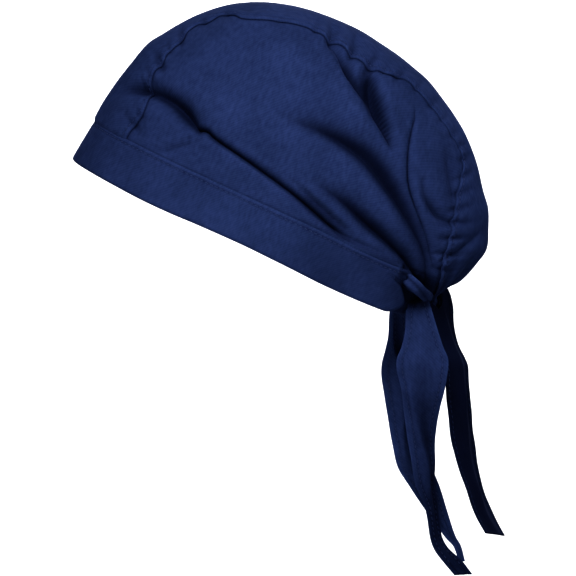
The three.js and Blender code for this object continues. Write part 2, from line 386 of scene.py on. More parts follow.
def finish_mesh(mesh, placed, grain, worn, hollow):
    """Puts a mesh's corners in place, in metres, with its weave map, wear and painted shade."""
    mesh.vertices.foreach_set("co", (placed * MM).astype(np.float32).ravel())
    corner = np.empty(len(mesh.loops), np.int32)
    mesh.loops.foreach_get("vertex_index", corner)
    weave = mesh.uv_layers.new(name="weave")
    weave.data.foreach_set("uv", (grain[corner] * MM).astype(np.float32).ravel())
    # The second attribute is painted shade: how far the colour is darkened where shade falls.
    for name, values in (("wear", worn), ("hollow", hollow)):
        kept = mesh.attributes.new(name, "FLOAT", "POINT")
        kept.data.foreach_set("value", np.clip(values, 0, 1).astype(np.float32))
    mesh.update()


def cloth_sheet(name, columns, rows, surface):
    """A grid of cloth moved to a surface and given its thickness."""
    built = bmesh.new()
    bmesh.ops.create_grid(built, x_segments=max(int(columns * DETAIL), FEWEST),
                          y_segments=max(int(rows * DETAIL), FEWEST), size=0.5)
    mesh = mesh_from(name, built)
    flat = np.empty(3 * len(mesh.vertices), np.float32)
    mesh.vertices.foreach_get("co", flat)
    flat = flat.reshape(-1, 3).astype(float) + 0.5
    finish_mesh(mesh, *surface(flat[:, 0], flat[:, 1]))
    sheet = add_object(name, mesh)
    wall = sheet.modifiers.new("cloth", "SOLIDIFY")
    wall.thickness = CLOTH * MM
    wall.offset = 0
    print(name, "faces:", len(mesh.polygons))
    return sheet


# %% [markdown]
# ## Folds
# A fold is a valley along a line. Its rows give the line's points on the cap's side, back from
# the origin and up from the headband's lower edge, how deep the valley is, and how far it spreads
# above the line and below it. Light comes from above, so a valley that spreads above its line and
# stops short below it shades softly down to a crisp lip. A larger sharpness makes steeper walls,
# and the grid's corners are drawn together at a crisp fold.

# %% Fold lines
FOLD_SAMPLES = 160
FOLD_LIPS = Named(share=0.16, reach=2.8)
LEAST_SPREAD = 0.2
CROWDING = Named(reach=7.0, power=0.7, ends=(2, 14))


def fold_line(hand, columns, sharp, crisp, *rows):
    """A fold's line, sampled, with back and up, or angle and side, among its columns."""
    rows = table(columns, *rows)
    count = len(rows["depth"])
    numbered = dict(rows, row=np.arange(float(count)))
    at = np.linspace(0, count - 1, FOLD_SAMPLES)
    fine = rows_at(numbered, "row", at)
    if "back" in rows:
        path = side_point(hand, fine["back"], fine["up"])
    else:
        path = slice_point(hand * fine["side"], fine["angle"])
    run = np.gradient(path, axis=0)
    step = np.linalg.norm(run, axis=1)
    return dict(fine, hand=hand, sharp=sharp, crisp=crisp, path=path, step=step,
                run=run / step[:, None])


def near_line(point, line):
    """How far each point lies along and across a fold's line, and the cloth's way across it."""
    path = line["path"]
    apart = (point ** 2).sum(1)[:, None] - 2 * point @ path.T + (path ** 2).sum(1)[None]
    nearest = apart.argmin(1)
    run = line["run"][nearest]
    gap = point - path[nearest]
    along = (gap * run).sum(1)
    upward = np.cross(crown_normal(point), run) * line["hand"]
    across = ((gap - along[:, None] * run) * upward).sum(1)
    return nearest + along / line["step"][nearest], across, upward


def fold_lift(point, lines):
    """How far the folds lift the cloth, which is below zero in a valley."""
    lift = np.zeros(len(point))
    samples = np.arange(FOLD_SAMPLES)
    for line in lines:
        same = point[:, 0] * line["hand"] > 0
        along, across, _ = near_line(point[same], line)
        depth, above, below = (np.interp(along, samples, line[key])
                               for key in ("depth", "above", "below"))
        spread = np.abs(across) / np.maximum(np.where(across > 0, above, below), LEAST_SPREAD)
        lips = FOLD_LIPS.share * hump(spread, 0, FOLD_LIPS.reach)
        bed = (1 + FOLD_LIPS.share) * np.exp(-(spread ** line["sharp"]))
        lift[same] += depth * (lips - bed)
    return lift


def crowd(point, lines):
    """Draws the grid's corners together at the crisp folds, so that they come out sharp."""
    reach = CROWDING.reach
    for line in lines:
        if not line["crisp"]:
            continue
        same = point[:, 0] * line["hand"] > 0
        along, across, upward = near_line(point[same], line)
        from_end = np.minimum(along, FOLD_SAMPLES - 1 - along)
        power = CROWDING.power * smooth(from_end, *CROWDING.ends)
        drawn = across * np.abs(across / reach) ** power
        moved = np.where(np.abs(across) < reach, drawn - across, 0)
        point[same] = onto_crown(point[same] + upward * moved[:, None])
    return point


# %% [markdown]
# ## The folds of each side
# On the worn cap every fold runs towards the knot. On the left, a soft valley over the brow ends in
# a hook, and from there one hard crease runs back to the headband. Broader valleys fan out above
# it, a forked one comes down from the crown, and a thin one drops straight to the knot.

# %% Fold tables, left
LEFT, RIGHT = 1, -1
SOFT, CRISP = False, True
SIDE, TOP = "back up depth above below", "angle side depth above below"
LEFT_ROWS = [
    (SIDE, 1.4, SOFT, (-94, 42, 0, 4.5, 4), (-89, 48, 2.2, 4.5, 4), (-82, 52.6, 5, 4.8, 4.4),
     (-74, 54, 6.8, 5, 4.8), (-65, 53.4, 8.2, 5.2, 4.8), (-57, 51.2, 9.4, 5, 4.4),
     (-50, 47.8, 8, 4, 3.4), (-45, 45.2, 5, 2.6, 2.2), (-42, 43.5, 0, 2, 1.5)),
    (SIDE, 1.3, CRISP, (-48, 45.5, 0, 1, 1), (-44, 46.5, 4, 1.4, 1.6), (-40, 46.8, 6, 1.4, 1.8),
     (-34, 45, 6, 1.4, 1.8), (-13, 41.5, 5.8, 1.6, 1.8), (12, 36.4, 6, 2.1, 2),
     (30, 31.4, 7.6, 3.8, 2.2), (44, 27, 7.6, 3.8, 2.2), (54, 24.4, 5.5, 3, 2), (66, 22, 0, 2, 2)),
    (SIDE, 1.5, SOFT, (40, 28, 0, 1.5, 2), (50, 26.2, 2, 1.6, 2), (62, 25.4, 2.6, 1.8, 2),
     (76, 25.2, 2.4, 1.8, 2), (92, 25, 0, 1.6, 2)),
    (SIDE, 1.5, SOFT, (8, 42.5, 0, 1.4, 1.4), (20, 39.4, 2.2, 1.4, 1.6), (33, 35.4, 3, 1.5, 1.6),
     (47, 31, 2.6, 1.6, 1.6), (58, 28, 0, 1.6, 1.6)),
    (SIDE, 1.3, SOFT, (-12, 70, 0, 6, 6), (3, 71.5, 3, 6, 5), (16, 73, 5.5, 6.4, 5),
     (33.4, 72.2, 8.4, 6.8, 6), (47, 69, 9.4, 6.8, 6.6), (63, 60, 9.2, 6.4, 6.4),
     (81.2, 47.2, 7, 5.2, 5.4), (98.4, 34.2, 5, 4.4, 4.4), (110.6, 23.4, 3.6, 3.6, 3.6),
     (119, 16, 2.4, 3.2, 3.2), (123, 11, 0, 3, 3)),
    (SIDE, 1.4, SOFT, (18, 45.5, 0, 5, 4), (31, 44.4, 3.2, 5.4, 4), (44.4, 42.1, 6.4, 5.6, 4.2),
     (59.6, 37.2, 8.4, 5.4, 4), (74.8, 32.8, 8.2, 4.8, 3.6), (92, 26.9, 6.6, 4.2, 3.2),
     (105.8, 20.8, 5, 3.4, 2.8), (115, 17, 3.6, 2.8, 2.4), (122, 12, 0, 2, 2)),
    (SIDE, 1.5, SOFT, (26, 117, 0, 2, 9), (28, 114, 3, 2, 10), (31, 109.6, 8, 2.2, 11),
     (36, 103, 12.5, 2.4, 10), (42, 95.6, 13.5, 2.4, 7.4), (48, 88.7, 10.5, 2.2, 4.8),
     (53, 82, 5, 1.8, 2.8), (56.5, 78, 0, 1.5, 1.8)),
    (SIDE, 1.5, SOFT, (-3, 119, 0, 2.4, 3), (2, 117, 2, 2.4, 3), (8, 113.6, 4.2, 2.6, 3.4),
     (14.5, 109.3, 5.6, 2.8, 3.6), (22, 104.4, 4.6, 3, 3.4), (29, 100.5, 2, 3, 3),
     (34, 97, 0, 3, 3)),
    (SIDE, 1.2, CRISP, (57, 106, 0, 1, 1), (60, 99, 1.6, 0.9, 1.6), (62, 90, 3, 1, 2),
     (65.5, 78, 3.8, 1.1, 2.4), (71, 66, 3.6, 1, 2.2), (81.4, 54, 2.4, 1, 2),
     (92.8, 43.7, 2, 0.9, 1.8), (103, 34.2, 1.6, 0.9, 1.6), (113, 25, 0, 1, 1)),
    (SIDE, 1.5, SOFT, (81, 92, 0, 6, 6), (87.5, 84, 2.6, 7, 6), (92, 77, 3.2, 7, 6),
     (95, 70, 2.2, 6.5, 5), (97, 64, 0, 5, 5)),
    (SIDE, 1.5, SOFT, (76, 74, 0, 3, 3), (78, 68, 2.4, 3.4, 3.4), (82, 63, 3.8, 4, 3.6),
     (87, 58.5, 4.8, 4.6, 3.4), (93, 55.5, 4.4, 4.4, 3.2), (99, 56, 2.4, 3.4, 2.6),
     (104, 58, 0, 2, 1.6)),
    (SIDE, 1.5, SOFT, (-61, 23.5, 0, 2, 2), (-56, 27.6, 1.1, 2.6, 2), (-50, 33, 1.7, 2.6, 2),
     (-45, 38.4, 1.3, 2.2, 1.8), (-41.5, 43.6, 0, 2, 1.6)),
    (SIDE, 1.5, SOFT, (-50, 37.5, 0, 1.5, 1.2), (-46.5, 40, 0.7, 1.8, 1.2),
     (-42, 43.5, 0.6, 1.5, 1.2), (-40, 45.5, 0, 1.5, 1.2)),
    (SIDE, 1.5, SOFT, (92, 25, 0, 2, 3), (96.5, 21, 4, 2.4, 3), (101, 17.5, 5, 2.4, 3),
     (107, 14, 0, 2, 3)),
    (TOP, 1.5, SOFT, (163.5, 46, 0, 1.8, 2.4), (161.5, 43.5, 1.2, 2, 2.6), (159, 39, 1.7, 2.4, 3),
     (156.5, 33, 1.5, 3, 3.4), (153, 24, 0, 3, 3)),
    (TOP, 1.5, SOFT, (20, 16, 0, 6, 6), (25, 26, 0.9, 6, 6), (29, 36, 1.8, 6, 5),
     (32, 43, 2.4, 5, 4), (34, 49, 0, 4, 3)),
    (TOP, 1.5, SOFT, (88, 8, 0, 3, 3), (89, 18, 1.6, 3, 3), (90, 28, 2.6, 3, 3),
     (90.5, 36, 2, 3, 3), (91, 42, 0, 3, 3)),
    (TOP, 1.5, SOFT, (95, 10, 0, 3, 3), (96, 22, 1.4, 3, 3), (97, 34, 2.4, 3, 3),
     (98, 44, 2.4, 3, 3), (100, 50, 0, 3, 3)),
]
print("folds on the left:", len(LEFT_ROWS))

# %% [markdown]
# The right side is gathered by the same knot, so it has folds of the same kinds. No two sides of a
# worn cap crease alike, so each is drawn anew.

# %% Fold tables, right
RIGHT_ROWS = [
    (SIDE, 1.5, SOFT, (-88, 46, 0, 5, 3), (-80, 50, 3, 5, 2.4), (-66, 51, 4.8, 5, 2.2),
     (-54, 47.5, 5.2, 4.6, 2.2), (-44, 43, 3.6, 4, 2), (-38, 40, 0, 3, 1)),
    (SIDE, 1.3, CRISP, (-42, 42, 0, 1, 1), (-34, 41.5, 4, 1.5, 1.3), (-8, 37.5, 5, 1.5, 1.3),
     (20, 32.5, 5, 1.7, 1.4), (44, 27, 4.2, 2, 1.6), (64, 22, 0, 2, 2)),
    (SIDE, 1.5, SOFT, (2, 68, 0, 7, 6), (20, 70, 4, 6.5, 5), (42, 65, 6.6, 6, 4.4),
     (62, 55, 7.4, 5.8, 4), (84, 41, 6.4, 5, 3.6), (106, 26, 5, 4, 3), (120, 16, 0, 3, 3)),
    (SIDE, 1.3, CRISP, (30, 43, 0, 3, 2.6), (46, 40.5, 4.4, 3.6, 2.4), (64, 34.5, 6, 3.4, 2.2),
     (86, 26.5, 5.4, 3, 2), (108, 19, 3.4, 2.4, 2), (118, 15, 0, 2, 2)),
    (SIDE, 1.5, SOFT, (2, 119, 0, 2, 4), (10, 114, 3.6, 2, 5), (26, 104, 6, 2.6, 6),
     (44, 92, 5.6, 3, 5), (58, 82, 2.8, 2, 4), (64, 77, 0, 1.5, 2)),
    (SIDE, 1.2, CRISP, (66, 100, 0, 1, 1), (69, 90, 2.2, 1, 1.8), (73, 76, 3, 1.1, 2.2),
     (82, 60, 2.8, 1, 1.8), (95, 44, 2.2, 1, 1.4), (112, 26, 0, 1, 1)),
    (SIDE, 1.5, SOFT, (80, 68, 0, 3, 2), (85, 61, 3.6, 3.4, 1.8), (92, 57, 4.2, 3.4, 1.6),
     (102, 56, 0, 2, 1.4)),
    (TOP, 1.5, SOFT, (21, 16, 0, 4, 3), (26, 30, 2, 4, 3), (30, 42, 2.6, 4, 2.5),
     (32, 49, 0, 4, 2)),
    (TOP, 1.5, SOFT, (93, 10, 0, 3, 3), (94, 24, 1.8, 3, 3), (95, 36, 2.4, 3, 3),
     (96, 44, 0, 3, 3)),
]
FOLDS = {LEFT: [fold_line(LEFT, *fold) for fold in LEFT_ROWS],
         RIGHT: [fold_line(RIGHT, *fold) for fold in RIGHT_ROWS]}
print("folds on the right:", len(RIGHT_ROWS))

# %% [markdown]
# ## The strip's edge and its gathers
# The centre strip is sewn down over the side panels. Its edge wanders, since the cloth is drawn in
# over the brow and lets go at the nape, and the seam's thread puckers both layers. A gather is a
# short valley square to the seam, longer on the strip than on the panel.

# %% Strip outline and gathers
EDGE = {
    LEFT: table(
        "angle half", (0, 54), (20, 52.5), (28, 52.6), (32, 49.6), (34.5, 43), (39, 39.8),
        (42, 38.6), (44.5, 34.6), (48, 33.2), (50, 27), (54.5, 22.6), (57.5, 25), (61, 20.6),
        (64, 25), (66, 30.4), (70, 32.4), (82, 31.6), (89, 33), (94, 34.6), (98, 36.8), (104, 37),
        (108, 34.8), (111.5, 29.8), (114, 28.4), (119, 29), (126, 28), (131, 26.6), (134, 25),
        (137, 26.6), (140, 32.2), (143.5, 38.6), (147, 43.4), (154, 46), (161, 45), (166, 40.5),
        (170, 33), (173.5, 22), (176, 12)),
    RIGHT: table(
        "angle half", (0, 54), (22, 52), (31, 50), (36, 42), (43, 37), (48, 31), (56, 27), (64, 29),
        (76, 33), (90, 34), (104, 36), (112, 31), (124, 28), (134, 27), (141, 33), (148, 42),
        (156, 45), (163, 43), (168, 36), (173, 22), (176, 12)),
}
GATHERS = {
    LEFT: table(
        "angle depth width reach", (23, 1.1, 2.6, 9), (27, 0.8, 2.4, 8), (36.5, 0.8, 2.2, 9),
        (41, 1.6, 2.4, 12), (45, 0.8, 2, 8), (49.3, 1.6, 2.4, 13), (56, 0.8, 2, 7),
        (62, 0.8, 2.2, 7), (76, 0.5, 4, 8), (85.5, 0.8, 2.2, 11), (90, 0.7, 2, 10),
        (96.5, 0.9, 2, 12), (102.5, 1.3, 2.2, 12), (106.5, 0.7, 1.8, 9), (110.3, 1.1, 2, 12),
        (115.5, 0.9, 2, 12), (121, 0.8, 2, 13), (125.5, 0.7, 2, 12), (130, 0.8, 2, 12),
        (133.5, 0.6, 1.8, 10), (136.5, 1.1, 2, 12), (140.2, 1.1, 2, 12), (143.8, 1.2, 2, 12),
        (147.3, 1.2, 1.9, 12), (151.2, 1.3, 1.9, 12), (155.3, 1.2, 1.9, 11), (160, 1.2, 2, 13),
        (165, 1, 2, 10)),
    RIGHT: table(
        "angle depth width reach", (24, 0.7, 2.6, 9), (33, 0.6, 2.4, 8), (39, 1.1, 2.4, 11),
        (46, 0.8, 2.4, 10), (52, 0.9, 2.2, 10), (60, 0.5, 2.2, 6), (72, 0.4, 3, 6),
        (99, 0.8, 2.4, 11), (107, 0.9, 2.2, 11), (113, 0.7, 2, 12), (118.5, 0.8, 2, 12),
        (127, 0.8, 2, 12), (132, 0.7, 1.8, 11), (137.5, 1.1, 2, 12), (142, 1.1, 2, 12),
        (146, 1.2, 2, 12), (150, 1.1, 1.9, 12), (154, 1.2, 1.9, 12), (158.5, 1.1, 2, 12),
        (163, 1, 2, 11)),
}
PANEL_SHARE = 0.4  # how far a gather reaches on the panel, of its reach on the strip


def half_strip(hand, degrees):
    """Half the strip's width on each point's own hand."""
    return np.where(hand > 0, curve(EDGE[LEFT], "angle", "half", degrees),
                    curve(EDGE[RIGHT], "angle", "half", degrees))


def gather_lift(point):
    """The puckers that the seam's thread draws into both layers."""
    degrees = slice_angle(point)
    round_run = np.radians(1) * np.hypot(point[:, 1], point[:, 2])
    outside = np.abs(point[:, 0]) - half_strip(point[:, 0], degrees)
    lift = np.zeros(len(point))
    for hand, rows in GATHERS.items():
        same = point[:, 0] * hand > 0
        for angle, depth, width, reach in zip(*rows.values()):
            off = (degrees - angle) * round_run / width
            away_from = np.where(outside > 0, outside / (reach * PANEL_SHARE), -outside / reach)
            lift -= same * depth * np.exp(-off ** 2 - away_from ** 2)
    return lift


def ripple(point, size, height):
    """Slight unevenness, as cloth has after it is worn: the same for the same place."""
    scaled = point / size
    return height * np.array([noise.noise(Vector(row)) for row in scaled])


print("gathers on the left seam:", len(GATHERS[LEFT]["angle"]))

# %% [markdown]
# ## The side panels
# Each panel runs from inside the headband up to the strip's seam and a little way under it. It
# carries most of the folds. The weave is mapped on the cloth's own threads: along the head and up.

# %% Side panels
HEADBAND = Named(width=24, hold=8)
BAND_FLARE = table(
    "angle lean", (0, 2.2), (22, 1.5), (50, 0.5), (80, 0), (100, -1), (116, -5), (128, -8),
    (140, -7), (150, -3.5), (160, -1), (180, 0))
STRIP = Named(front=10.5, nape=175.5, underlap=6, lap=1.35, edge_lap=0.55, edge_roll=1.3)
MEAN_RADIUS = 100
PANEL = Named(nape=174.5, hem_nape=174, rise=-7, rise_from=0.8, ease=0.35)
LAP = Named(low=20.5, risen=26, under=52, nape=(150, 162), thinner=0.35, behind=(108, 126))
RIPPLES = ((26, 0.5), (9, 0.14))
FOLD_FADE = Named(start=22, end=29, nape_drop=15, nape_from=144, nape_to=153)
# Painted shade: the valleys of folds and gathers get darker colour the deeper they are.
PAINTED_VALLEY_SHADE = Named(fold=(0.5, 6.5), gather=(0.1, 1.2), gather_share=0.4)
# Painted shade along the seams, and worn lines: strength, distance off the edge, width.
PAINTED_SEAM_SHADE = Named(edge=(0.34, 0, 0.35), stitches=(0.26, 2.0, 0.5), panel=(0.3, 0.2, 0.8),
               band=(0.36, 24.2, 0.9))
WEAR = Named(strip=(0.12, 0.8, 0.8), band=(0.1, 0.6, 0.7), band_fold=(0.3, 0, 1.5),
             hem=(0.5, 0, 0.9))


def band_flare(up, degrees):
    """How far the headband's lower part leans out, or in where the neck narrows."""
    share = np.clip(1 - up / HEADBAND.width, 0, 1.1)
    return curve(BAND_FLARE, "angle", "lean", np.abs(degrees)) * share


def panel_base(hand, u, v):
    """The panel's even grid on the crown, from its hem to its seam."""
    hem = HEADBAND.width - HEADBAND.hold
    corner = slice_point(half_strip(np.array([hand]), STRIP.front), np.array([STRIP.front]))[0]
    hem_front = math.degrees(math.atan2(corner[0], -corner[1]))
    run = u + (smooth(u, 0, 1) - u) * PANEL.ease
    low = level_point(hem + PANEL.rise * smooth(u, PANEL.rise_from, 1),
                      hem_front + (PANEL.hem_nape - hem_front) * u)
    seam_angle = STRIP.front + (PANEL.nape - STRIP.front) * run
    half = half_strip(np.full(len(u), hand), seam_angle)
    seam = slice_point(half, seam_angle)
    lapped = np.maximum(smooth(seam[:, 2], LAP.low, LAP.under), smooth(seam_angle, *LAP.nape))
    high = slice_point(half - STRIP.underlap * lapped, seam_angle)
    base = onto_crown(low + (high - low) * v[:, None])
    base[:, 0] *= hand
    return base


def shaped_lift(base):
    """How far folds, gathers and wear lift the cloth outside the headband, and the shade painted in
    their valleys.
    """
    folds = fold_lift(base, FOLDS[LEFT] + FOLDS[RIGHT])
    gathers = gather_lift(base)
    lift = folds + gathers
    for size, height in RIPPLES:
        lift += ripple(base, size, height)
    # Painted shade in the beds of the folds and gathers, by how deep they are.
    hollow = smooth(-folds, *PAINTED_VALLEY_SHADE.fold)
    hollow += PAINTED_VALLEY_SHADE.gather_share * smooth(-gathers, *PAINTED_VALLEY_SHADE.gather)
    round_head = np.degrees(np.arctan2(np.abs(base[:, 0]), -base[:, 1]))
    freed = FOLD_FADE.nape_drop * smooth(round_head, FOLD_FADE.nape_from, FOLD_FADE.nape_to)
    inside = smooth(base[:, 2] + freed, FOLD_FADE.start, FOLD_FADE.end)
    return lift * inside + band_flare(base[:, 2], round_head), hollow * inside


def panel_surface(hand):
    def surface(u, v):
        base = crowd(panel_base(hand, u, v), FOLDS[hand])
        lift, hollow = shaped_lift(base)
        placed = as_worn(cloth_point(base, lift))
        outside = np.abs(base[:, 0]) - half_strip(base[:, 0], slice_angle(base))
        # Painted shadow on the panel beside the strip's edge and just above the band's edge.
        hollow += stripe(outside, *PAINTED_SEAM_SHADE.panel) + stripe(base[:, 2], *PAINTED_SEAM_SHADE.band)
        over_head = MEAN_RADIUS * np.arctan2(base[:, 2], np.abs(base[:, 0]))
        return placed, joined(base[:, 1], over_head), 0 * outside, hollow
    return surface


panel_left = cloth_sheet("panel_left_twill", 300, 150, panel_surface(LEFT))
panel_right = cloth_sheet("panel_right_twill", 240, 120, panel_surface(RIGHT))

# %% [markdown]
# ## The centre strip
# The strip lies on the panels, so it is lifted by a little more than one cloth. Its edge is turned
# under and rolls down to the panel, with a row of stitches in a shallow groove beside it. Its
# middle stands a little fuller than the form, by an amount that changes along the head. Below, it
# is pleated where the knot gathers it.

# %% Centre strip
STRIP_EVEN = 0.45
STITCH_LINE = Named(strip=2.0, band=2.2, groove=0.3, groove_width=0.7)
QUILTING = Named(pitch=3.0, depth=0.12, spread=0.25)
PLEATS = Named(count=3.5, depth=1.3, start=156, end=171)
TURNED = Named(height=0.3, start=5, end=8)
MIDDLE = (0.35, 0.95)
STRIP_FULLNESS = table(
    "angle lift", (0, 0.6), (14, 0.7), (22, 1.1), (33, 1.6), (40, 2.8), (45, 1.5), (55, 1.1),
    (65, 1.1), (80, 1.7), (91, 2.3), (97, 2.5), (104, 1.7), (112, 1.5), (116.5, 1.8), (122, 1.5),
    (134, 1.9), (140, 2.2), (145, 1.6), (149, 2.6), (154, 2.3), (159, 4.0), (163, 2.7), (168, 2),
    (172, 1.8), (176, 0.8))


def strip_across(v):
    """From 1 at the left edge to -1 at the right, closer together at the edges."""
    return closer(1 - 2 * v, STRIP_EVEN)


def sewn(off, along, groove=STITCH_LINE.groove, width=STITCH_LINE.groove_width):
    """How near a row of stitches the cloth is, and how its thread draws the cloth in."""
    near = hump(off, 0, width)
    pucker = QUILTING.depth * np.cos(2 * math.pi * along / QUILTING.pitch)
    return near, pucker * near ** QUILTING.spread - groove * near


def strip_lift(base, edge):
    """How far the strip lies out from the crown, by its height and the distance from its edge."""
    degrees = slice_angle(base)
    rolled = (1 - np.minimum(edge / STRIP.edge_roll, 1)) ** 2
    lap = STRIP.lap - (STRIP.lap - STRIP.edge_lap) * rolled
    turned = 1 - smooth(edge, TURNED.start, TURNED.end)
    lap += TURNED.height * turned * (1 - rolled)
    lap += sewn(edge - STITCH_LINE.strip, strip_arc(degrees))[1]
    over = np.maximum(smooth(base[:, 2], LAP.low, LAP.risen), smooth(degrees, *LAP.nape))
    return lap * over * (1 - LAP.thinner * smooth(degrees, *LAP.behind))


def strip_arc(degrees):
    """How far along the strip's middle line an angle lies."""
    steps = np.linspace(0, 180, 181)
    return np.interp(degrees, steps, run_length(slice_point(np.zeros(181), steps)))


def strip_surface(u, v):
    degrees = STRIP.front + (STRIP.nape - STRIP.front) * u
    across = strip_across(v)
    half = half_strip(across, degrees)
    base = slice_point(across * half, degrees)
    edge = half * (1 - np.abs(across))
    shaped, hollow = shaped_lift(base)
    full = curve(STRIP_FULLNESS, "angle", "lift", degrees) * (1 - smooth(np.abs(across), *MIDDLE))
    pleats = PLEATS.depth * np.cos(2 * math.pi * PLEATS.count * across)
    lift = strip_lift(base, edge) + shaped
    lift += full * smooth(base[:, 2], LAP.low, LAP.risen)
    lift -= pleats * smooth(degrees, PLEATS.start, PLEATS.end)
    # Painted shade in the crack at the strip's edge and in its stitch groove.
    hollow += stripe(edge, *PAINTED_SEAM_SHADE.edge) + stripe(edge, *PAINTED_SEAM_SHADE.stitches)
    grain = joined(base[:, 0], strip_arc(degrees))
    return as_worn(cloth_point(base, lift)), grain, stripe(edge, *WEAR.strip), hollow


strip = cloth_sheet("centre_strip_twill", 420, 104, strip_surface)

# %% [markdown]
# ## The headband
# The headband is a strip folded along its lower edge, with the crown's hem held between its two
# layers and a row of stitches below its upper edge. Behind the ear it stops at a slant and turns
# in under the crown, and there it is pinched into a strand that goes on into the knot.

# %% Headband
BAND_OUTLINE = table(
    "angle low width wall", (0, -1, 25, 0.8), (22, -0.6, 24.6, 1.1), (34, -0.7, 24.7, 1.2),
    (50, -1.2, 25.2, 1.3), (61, -1, 25, 1.4), (72, -0.4, 24.4, 1.4), (90, -0.2, 24.1, 1.4),
    (103, -0.8, 24.5, 1.4), (114, -1.7, 25.2, 1.4), (124, -3, 25.9, 1.4), (134, -3.4, 25.6, 1.5),
    (144, -2.9, 24.7, 1.5), (150, -1.9, 23.7, 1.6), (157, 0, 22.2, 1.6))
BAND_END_LINE = table(
    "up angle", (-3, 154), (0, 157), (4, 158.4), (8, 156), (12, 152.4), (17, 148.8), (22, 146.6))
BAND_END = Named(angle=157, spare=4.2, low_spare=21, tuck=(11, 18), ease=110, millimetres=1.8,
                 shallow=2.6, deep=5.5, slow=1.5, steep=1.6)
BAND_EVEN = Named(along=0.62, across=0.4)
BAND_RADIUS = 92
BAND_ROLL = Named(reach=1.8, depth=0.6)
BAND_RIPPLE = (20, 0.35)
BAND_SHADE = Named(turned=0.5, within=(0.5, 6), stitched=0.35)


def band_degrees(u):
    """The angle along the band, closer together at its ends."""
    return BAND_END.angle * closer(1 - 2 * u, BAND_EVEN.along)


def band_part(even):
    """The share of the way from the lower fold to the upper edge, closer together at both."""
    eased = (1 - np.cos(math.pi * even)) / 2
    return BAND_EVEN.across * even + (1 - BAND_EVEN.across) * eased


def band_length(rows):
    """How long one layer of the band is, from the middle of its lower fold to its upper edge."""
    return rows["width"] + rows["wall"] * (math.pi / 2 - 1)


def band_path(rows, v):
    """Where the band's cross-section runs: outward, up, and how far below its upper edge."""
    run = 2 * v - 1
    wall = rows["wall"]
    travelled = band_part(np.abs(run)) * band_length(rows)
    turn = np.minimum(travelled / wall, math.pi / 2)
    outward = np.sign(run) * wall * np.sin(turn)
    flat = np.maximum(travelled - wall * math.pi / 2, 0)
    up = rows["low"] + wall * (1 - np.cos(turn)) + flat
    return outward, up, band_length(rows) - travelled, np.sign(run) * travelled


def band_turn_in(degrees, up):
    """The angle at a slanted end, and how far the cloth there has turned in."""
    start = curve(BAND_END_LINE, "up", "angle", up)
    tucked = 1 - smooth(up, *BAND_END.tuck)
    spare = (start + BAND_END.spare + BAND_END.low_spare * tucked) / BAND_END.angle - 1
    slanted = degrees * (1 + spare * smooth(np.abs(degrees), BAND_END.ease, BAND_END.angle))
    past = np.maximum(np.abs(slanted) - start, 0) * BAND_END.millimetres
    deepest = BAND_END.shallow + (BAND_END.deep - BAND_END.shallow) * tucked
    turning = past * past / (past + BAND_END.slow) * BAND_END.steep
    return slanted, past, deepest * np.tanh(turning / deepest)


def band_surface(u, v):
    even = band_degrees(u)
    rows = rows_at(BAND_OUTLINE, "angle", np.abs(even))
    outward, up, edge, travelled = band_path(rows, v)
    degrees, past, inward = band_turn_in(even, up)
    base = level_point(up, degrees)
    arc = np.radians(degrees) * BAND_RADIUS
    rolled = (1 - np.minimum(edge / BAND_ROLL.reach, 1)) ** 2
    stitched, drawn = sewn(edge - STITCH_LINE.band, arc)
    detail = drawn - BAND_ROLL.depth * rolled
    shaped = ripple(base, *BAND_RIPPLE) + band_flare(up, degrees) - inward
    placed = as_worn(cloth_point(base, outward + np.sign(outward) * detail + shaped))
    worn = stripe(edge, *WEAR.band) + stripe(travelled, *WEAR.band_fold)
    # Painted shade where the band turns in under the crown, and along its row of stitches.
    hollow = BAND_SHADE.turned * smooth(past, *BAND_SHADE.within)
    hollow += BAND_SHADE.stitched * stitched
    return placed, joined(arc, travelled), worn, hollow


band = cloth_sheet("headband_twill", 420, 60, band_surface)

# %% [markdown]
# Past the slanted end the band's cloth is bunched. Its edges nearly meet round the back, so it is
# a ribbon rolled into a soft rope with a few pleats, which starts inside the pocket.

# %% Pinched strands
STRAND = table(
    "angle up outward radius", (149, 18, -9, 3.2), (151.5, 17.6, -6.6, 3.3), (154, 16.9, -3.6, 3.3),
    (156, 16, -1.2, 3.2), (158, 15, 0.4, 3), (160, 14, 1.3, 2.7), (165, 12.3, 1.6, 2.3),
    (169, 11.2, 1, 2), (172, 10.6, 0, 1.9), (175, 10.2, -1, 1.8))
STRAND_PLEATS = Named(count=4, depth=0.4, turns=9, opening=25, worn=0.3, hollow=0.5)
STRAND_FLAT = 0.8
STRAND_STEP = 1.9  # millimetres of strand to a degree


def strand_surface(hand):
    def surface(u, v):
        degrees = STRAND["angle"][0] + (STRAND["angle"][-1] - STRAND["angle"][0]) * u
        at = rows_at(STRAND, "angle", degrees)
        opening = STRAND_PLEATS.opening
        section = np.radians(-180 + opening + (360 - 2 * opening) * v)
        turned = STRAND_PLEATS.count * section + STRAND_PLEATS.turns * u
        pleats = STRAND_PLEATS.depth * np.cos(turned)
        thick = at["radius"] + pleats
        base = level_point(at["up"] + thick * np.sin(section), degrees)
        base[:, 0] *= hand
        out = at["outward"] + STRAND_FLAT * thick * np.cos(section)
        worn = STRAND_PLEATS.worn * smooth(pleats, 0, STRAND_PLEATS.depth)
        # Painted shade in the valleys of the pleats; the ridges are worn lighter.
        hollow = STRAND_PLEATS.hollow * smooth(-pleats, 0, STRAND_PLEATS.depth)
        grain = joined(degrees * STRAND_STEP, at["radius"] * section)
        return as_worn(cloth_point(base, out)), grain, worn, hollow
    return surface


strand_left = cloth_sheet("strand_left_twill", 90, 60, strand_surface(LEFT))
strand_right = cloth_sheet("strand_right_twill", 90, 60, strand_surface(RIGHT))

